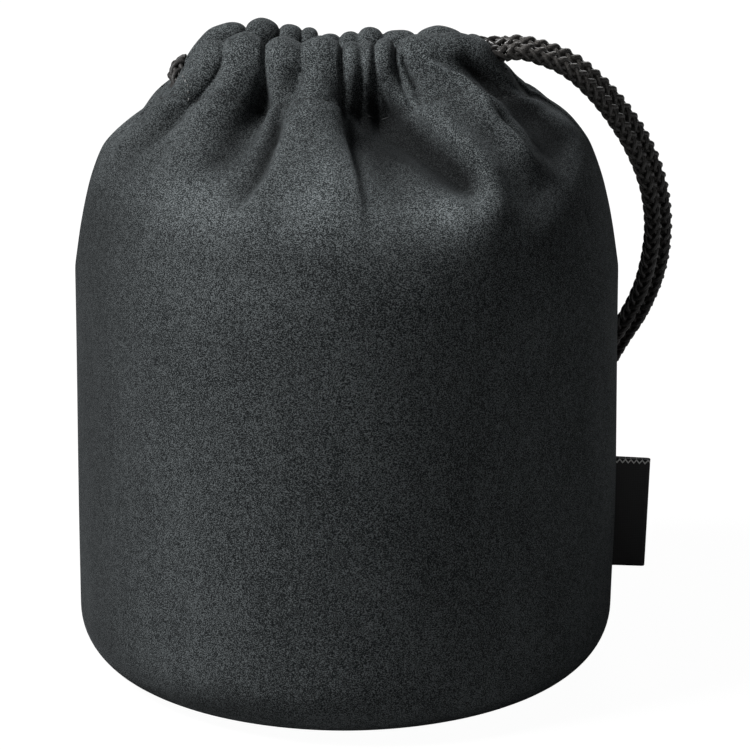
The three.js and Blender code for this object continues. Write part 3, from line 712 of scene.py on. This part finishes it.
def along(points, spacing):
    """Evenly spaced points on a smooth curve through the given ones, and its length, in millimetres."""
    given = np.array(points, float)
    padded = np.vstack([2 * given[0] - given[1], given, 2 * given[-1] - given[-2]])
    t = np.linspace(0.0, 1.0, SPAN_STEPS, endpoint=False)[:, None]
    spans = []
    for before, start, end, after in zip(padded, padded[1:], padded[2:], padded[3:]):
        spans.append(0.5 * (2 * start + (end - before) * t + (2 * before - 5 * start + 4 * end - after) * t ** 2
                            + (3 * start - before - 3 * end + after) * t ** 3))
    fine = np.vstack(spans + [given[-1:]])
    length = np.concatenate([[0.0], np.cumsum(np.linalg.norm(np.diff(fine, axis=0), axis=1))])
    even = np.linspace(0.0, length[-1], max(3, int(length[-1] / spacing)))
    return np.stack([np.interp(even, length, fine[:, i]) for i in range(3)], axis=1), length[-1]


def across_path(path):
    """Two directions square to a path at each of its points, which don't twist along it."""
    ahead = np.gradient(path, axis=0)
    ahead /= np.linalg.norm(ahead, axis=1, keepdims=True)
    side = np.cross(ahead[0], BRAID_START)
    sides = []
    for direction in ahead:
        side = side - direction * np.dot(side, direction)
        side = side / np.linalg.norm(side)
        sides.append(side)
    sides = np.array(sides)
    return sides, np.cross(ahead, sides)


def braided_cord(name, points, step=CORD_STEP):
    """Strands that cross over and under each other round a core, along the given points."""
    path, length = along(points, step)
    sides, ups = across_path(path)
    travel = np.linspace(0.0, length, len(path))
    lines = []
    for way in (1, -1):
        for strand in range(STRANDS):
            angle = way * 2 * np.pi * travel / BRAID_TURN + 2 * np.pi * strand / STRANDS
            crossing = STRANDS * 2 * travel / BRAID_TURN
            lift = way * np.sin(np.pi / 2 * (2 * strand + way * crossing + 0.5))
            reach = (STRAND_LAY + STRAND_LIFT * lift)[:, None]
            line = path + reach * (np.cos(angle)[:, None] * sides + np.sin(angle)[:, None] * ups)
            lines.append((line, STRAND_RADIUS))
    piece = thread_piece(name, lines + [(path[::CORE_EVERY], CORE_RADIUS)], braid, STRAND_SIDES)
    return piece, path * MM, length * MM


CORD_RIGHT, CORD_FALL = 116.3, 2.5
RUN_HALF, RUN_STATIONS = 28.6, 17


def cord_level(x):
    """Height of the cord in its casing, which falls towards the left seam."""
    return CORD_RIGHT - CORD_FALL * (1.0 - x / CASING_HALF_WIDTH)


carried = {}
for name, side in SIDES.items():
    stations = [(x, side * casing_depth(x), cord_level(x)) for x in np.linspace(-RUN_HALF, RUN_HALF, RUN_STATIONS)]
    run_piece, _, _ = braided_cord(f"{name}_cord_in_casing", stations, CASING_STEP)
    bend_with_lip(run_piece)
    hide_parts(f"{name}_cord_run")
    carried[name] = [run_piece]

BRIDGE_X, BRIDGE_OUT, BRIDGE_RISE, BRIDGE_STATIONS = -28.9, 1.8, 1.6, 9
bridge_points = [(BRIDGE_X - BRIDGE_OUT * math.sin(t), -CASING_SIDE * math.cos(t),
                  cord_level(-CASING_HALF_WIDTH) - BRIDGE_RISE * math.cos(t))
                 for t in np.linspace(0.0, np.pi, BRIDGE_STATIONS)]
bridge, _, _ = braided_cord("left_cord_bridge", bridge_points)
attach(bridge, "pouch")
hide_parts("cord_bridge")
carried["front"].append(bridge)

KNOT = np.array([19.0, 55.8, 5.7])
KNOT_TURNS, KNOT_STATIONS, KNOT_LENGTH, KNOT_RADIUS = 3, 60, 6.4, 3.7
HEADING = np.array([-0.93, 0.37, 0.0]) / math.hypot(0.93, 0.37)
ASIDE = np.array([HEADING[1], -HEADING[0], 0.0])
UPRIGHT = np.array([0.0, 0.0, 1.0])
knot_turns = np.linspace(0.0, KNOT_TURNS * 2 * np.pi, KNOT_STATIONS)
knot_points = [tuple(KNOT + HEADING * (-KNOT_LENGTH / 2 + KNOT_LENGTH * t / knot_turns[-1])
                     + KNOT_RADIUS * (math.cos(t) * ASIDE + math.sin(t) * UPRIGHT)) for t in knot_turns]
knot, _, _ = braided_cord("tail_knot", knot_points)
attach(knot, "pouch")
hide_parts("cord_knot")
carried["front"].append(knot)

# The way of each end from the right seam to the knot, and then its steps ahead of the knot, aside and off the ground.
ROUTES = {
    "front": [(28.62, -2.64, 116.3), (32.4, -1.4, 116.1), (39.4, 1.2, 112.6), (44.8, 3.7, 107.3), (49.4, 6.6, 100.7),
              (52.9, 9.3, 94.1), (55.6, 12.2, 86.5), (56.8, 15.2, 78.6), (56.6, 18.3, 71.3), (55.3, 21.7, 63.6),
              (52.8, 25.4, 56.3), (49.9, 29.2, 49.8), (47.1, 33.1, 42.8), (44.3, 36.7, 35.6), (41.2, 40.0, 29.0),
              (37.5, 43.2, 22.0), (33.8, 46.0, 15.4), (30.6, 48.1, 8.6)],
    "back": [(28.62, 2.64, 116.3), (32.6, 3.3, 116.1), (40.0, 5.3, 113.0), (46.0, 7.7, 107.6), (50.7, 10.2, 101.5),
             (54.7, 12.9, 94.6), (57.5, 15.6, 87.0), (58.9, 18.6, 79.1), (59.0, 21.6, 71.2), (57.9, 24.7, 63.8),
             (55.6, 28.2, 56.4), (52.5, 32.1, 49.5), (49.8, 36.4, 42.6), (46.9, 40.1, 35.6), (43.5, 43.6, 28.5),
             (39.9, 46.6, 22.0), (35.7, 49.6, 15.2), (32.0, 51.9, 8.7)],
}
INTO_KNOT = [(-8.2, 1.85, 5.7), (-4.8, 1.85, 5.7)]
OUT_OF_KNOT = [(4.8, 1.85, 5.7), (6.5, 1.85, 5.7), (11.3, 2.8, 2.3), (17.8, 3.7, 2.0)]
PATH_EVERY = 6


def near_knot(side, steps):
    """Places by the knot, on the side of the front or the back end."""
    return [(*(KNOT + HEADING * ahead + ASIDE * (side * aside))[:2], height) for ahead, aside, height in steps]


for name, side in SIDES.items():
    tail, route, length = braided_cord(f"{name}_cord_tail", ROUTES[name] + near_knot(side, INTO_KNOT))
    tip, _, _ = braided_cord(f"{name}_cord_cut_tip", near_knot(side, OUT_OF_KNOT))
    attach(tail, "pouch")
    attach(tip, "pouch")
    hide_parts(f"{name}_cord_end")
    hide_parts(f"{name}_cord_tip")
    route[::PATH_EVERY].tolist() + [route[-1].tolist()]
    [tip] + carried[name]


# Side label
# A strip of black woven satin is folded in two, and its cut ends are sewn into the right side seam.
# A pale selvage thread runs in a zigzag along its top edge.

SATIN_DARK, SATIN_PALE, SELVAGE_PALE = (0.004, 0.004, 0.0045), (0.013, 0.013, 0.014), (0.75, 0.75, 0.74)
WEFT_SCALE, WARP_SCALE, WEFT_SHARE, WEAVE_UNEVEN = 900.0, 700.0, 0.6, 0.4
SELVAGE_LEVEL, SELVAGE_SWING, SELVAGE_PITCH, SELVAGE_THREAD = 0.0099, 0.00065, 0.00105, 0.26
LABEL_BOTTOM, LABEL_HEIGHT, LABEL_REACH, LABEL_PLY = 16.0, 21.4, 5.9, 0.42
SEAM_X, LABEL_EXIT, LABEL_FOLD = 48.4, 50.3, 0.37
LABEL_COLUMNS, LABEL_ROWS = 52, 44
LABEL_LEAN, LABEL_SWAY, SWAY_RATE, LABEL_TWIST, LABEL_DROOP = 0.8, 0.35, 3.0, 0.25, 0.5

satin, cut = new_finish("woven_satin", {"Roughness": 0.45, "Specular IOR Level": 0.35, "Sheen Weight": 0.1})
weft, warp = (cut.node("ShaderNodeTexWave", {"bands_direction": bands},
                       {"Vector": cut, "Scale": scale, "Distortion": WEAVE_UNEVEN})
              for bands, scale in (("Y", WEFT_SCALE), ("X", WARP_SCALE)))
weave = weft * WEFT_SHARE + warp * (1.0 - WEFT_SHARE)
rise = (cut.axis("Y") - SELVAGE_LEVEL) * (1.0 / SELVAGE_SWING)
wave = cut.math("PINGPONG", cut.axis("X"), SELVAGE_PITCH / 2) * (2.0 / SELVAGE_PITCH)
zigzag = cut.math("LESS_THAN", cut.math("ABSOLUTE", rise - wave), SELVAGE_THREAD)
wear_on(satin, Base_Color=zigzag.blend(weave.blend(SATIN_DARK, SATIN_PALE), SELVAGE_PALE),
        Normal=weave.bump(0.3, 0.00015))

bm = bmesh.new()
bmesh.ops.create_grid(bm, x_segments=LABEL_COLUMNS, y_segments=LABEL_ROWS, size=0.5)
laid = np.array([v.co[:2] for v in bm.verts])
flat_half = LABEL_EXIT + LABEL_REACH - LABEL_FOLD - SEAM_X
folded_half = flat_half + LABEL_FOLD * math.pi / 2
for vertex, (u, v) in zip(bm.verts, laid):
    from_fold = 2 * abs(u) * folded_half
    if from_fold > folded_half - flat_half:
        x = SEAM_X + folded_half - from_fold
        y = math.copysign(LABEL_FOLD, u)
    else:
        swing = from_fold / LABEL_FOLD
        x = SEAM_X + flat_half + LABEL_FOLD * math.cos(swing)
        y = math.copysign(LABEL_FOLD * math.sin(swing), u)
    out = max(x - LABEL_EXIT, 0.0) / LABEL_REACH
    x -= out * LABEL_LEAN * (0.5 - v)
    sway = LABEL_SWAY * math.sin(SWAY_RATE * v) + LABEL_TWIST * v
    droop = LABEL_DROOP * out * (v + 0.5)
    vertex.co = (x * MM, (y + sway * out) * MM, (LABEL_BOTTOM + LABEL_HEIGHT * (v + 0.5) - droop) * MM)
label = add_piece("folded_label", bm, satin, laid * (2 * folded_half * MM, LABEL_HEIGHT * MM))
ply = label.modifiers.new("ply", "SOLIDIFY")
ply.thickness = LABEL_PLY * MM
ply.offset = 0.0
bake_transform(label)
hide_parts("side_label")


# Stage
# A plain white floor, one large soft light from the upper left, a weak fill and a weak light from behind.
# The camera stands where the photograph's camera stood.

FLOOR_HALF, FLOOR_LEVEL = 3.0, -0.0004
FLOOR_GREY, FLOOR_BOUNCE, WHITE = (0.8, 0.8, 0.8, 1.0), (0.3, 0.3, 0.3, 1.0), (1.0, 1.0, 1.0, 1.0)
FLOOR_GLOW, FLOOR_GLOW_SHARE = 1.08, 0.9
AMBIENT, BACKDROP = 0.028, 1.0

bm = bmesh.new()
bmesh.ops.create_grid(bm, x_segments=1, y_segments=1, size=FLOOR_HALF)
paper = bpy.data.materials.new("white_floor")
paper.use_nodes = True
tree = paper.node_tree
shader = tree.nodes["Principled BSDF"]
shader.inputs["Base Color"].default_value = FLOOR_GREY
shader.inputs["Roughness"].default_value = 0.9
seen = Socket(tree, None).node("ShaderNodeLightPath", {}, {}, out="Is Camera Ray")
white = seen.node("ShaderNodeEmission", {}, {"Color": WHITE, "Strength": FLOOR_GLOW})
lit = Socket(tree, shader.outputs[0])
bright = seen.node("ShaderNodeMixShader", {}, {0: FLOOR_GLOW_SHARE, 1: lit, 2: white})
dim = seen.node("ShaderNodeBsdfDiffuse", {}, {"Color": FLOOR_BOUNCE})
both = seen.node("ShaderNodeMixShader", {}, {0: seen, 1: dim, 2: bright})
tree.links.new(both.out, tree.nodes["Material Output"].inputs["Surface"])
floor = add_piece("floor", bm, paper)
floor.location.z = FLOOR_LEVEL

world = bpy.data.worlds.new("studio")
world.use_nodes = True
bpy.context.scene.world = world
tree = world.node_tree
ambient = tree.nodes["Background"]
ambient.inputs["Color"].default_value = WHITE
ambient.inputs["Strength"].default_value = AMBIENT
seen = Socket(tree, None).node("ShaderNodeLightPath", {}, {}, out="Is Camera Ray")
white = seen.node("ShaderNodeBackground", {}, {"Color": WHITE, "Strength": BACKDROP})
both = seen.node("ShaderNodeMixShader", {}, {0: seen, 1: Socket(tree, ambient.outputs[0]), 2: white})
tree.links.new(both.out, tree.nodes["World Output"].inputs["Surface"])

LIT_SPOT = Vector((0, 0, 0.06))
LIGHTS = {
    "key": {"spot": (-0.93, -0.30, 1.21), "size": 0.5, "watts": 29.5},
    "fill": {"spot": (0.5, -1.1, 0.5), "size": 0.8, "watts": 0.4},
    "back": {"spot": (0.35, 1.2, 0.7), "size": 0.8, "watts": 4.0},
}


def add_light(name, spot, size, watts):
    lamp = bpy.data.lights.new(name, "AREA")
    lamp.shape = "SQUARE"
    lamp.size = size
    lamp.energy = watts
    light = bpy.data.objects.new(name, lamp)
    light.location = spot
    light.rotation_euler = (LIT_SPOT - Vector(spot)).to_track_quat("-Z", "Y").to_euler()
    bpy.context.collection.objects.link(light)


for name, light in LIGHTS.items():
    add_light(name, **light)

ELEVATION, DISTANCE, AIM_HEIGHT = math.radians(20.0), 0.9, 0.057
PHOTO_PX, FOCAL_PX, PX_PER_MM = 750, 4878, 5.42
RIGHT_PX, DOWN_PX = 28, 17
SENSOR = 36.0
ahead = Vector((0.0, math.cos(ELEVATION), -math.sin(ELEVATION)))
upright = Vector((0.0, math.sin(ELEVATION), math.cos(ELEVATION)))
shift = Vector((1, 0, 0)) * (RIGHT_PX / PX_PER_MM * MM)
middle = Vector((0.0, 0.0, AIM_HEIGHT)) + shift - upright * (DOWN_PX / PX_PER_MM * MM)
lens = bpy.data.cameras.new("photo_view")
lens.sensor_width = SENSOR
lens.lens = SENSOR * FOCAL_PX / PHOTO_PX
camera = bpy.data.objects.new("photo_view", lens)
camera.location = middle - ahead * DISTANCE
camera.rotation_euler = ahead.to_track_quat("-Z", "Y").to_euler()
bpy.context.collection.objects.link(camera)
bpy.context.scene.camera = camera
bpy.context.scene.view_settings.view_transform = "Standard"
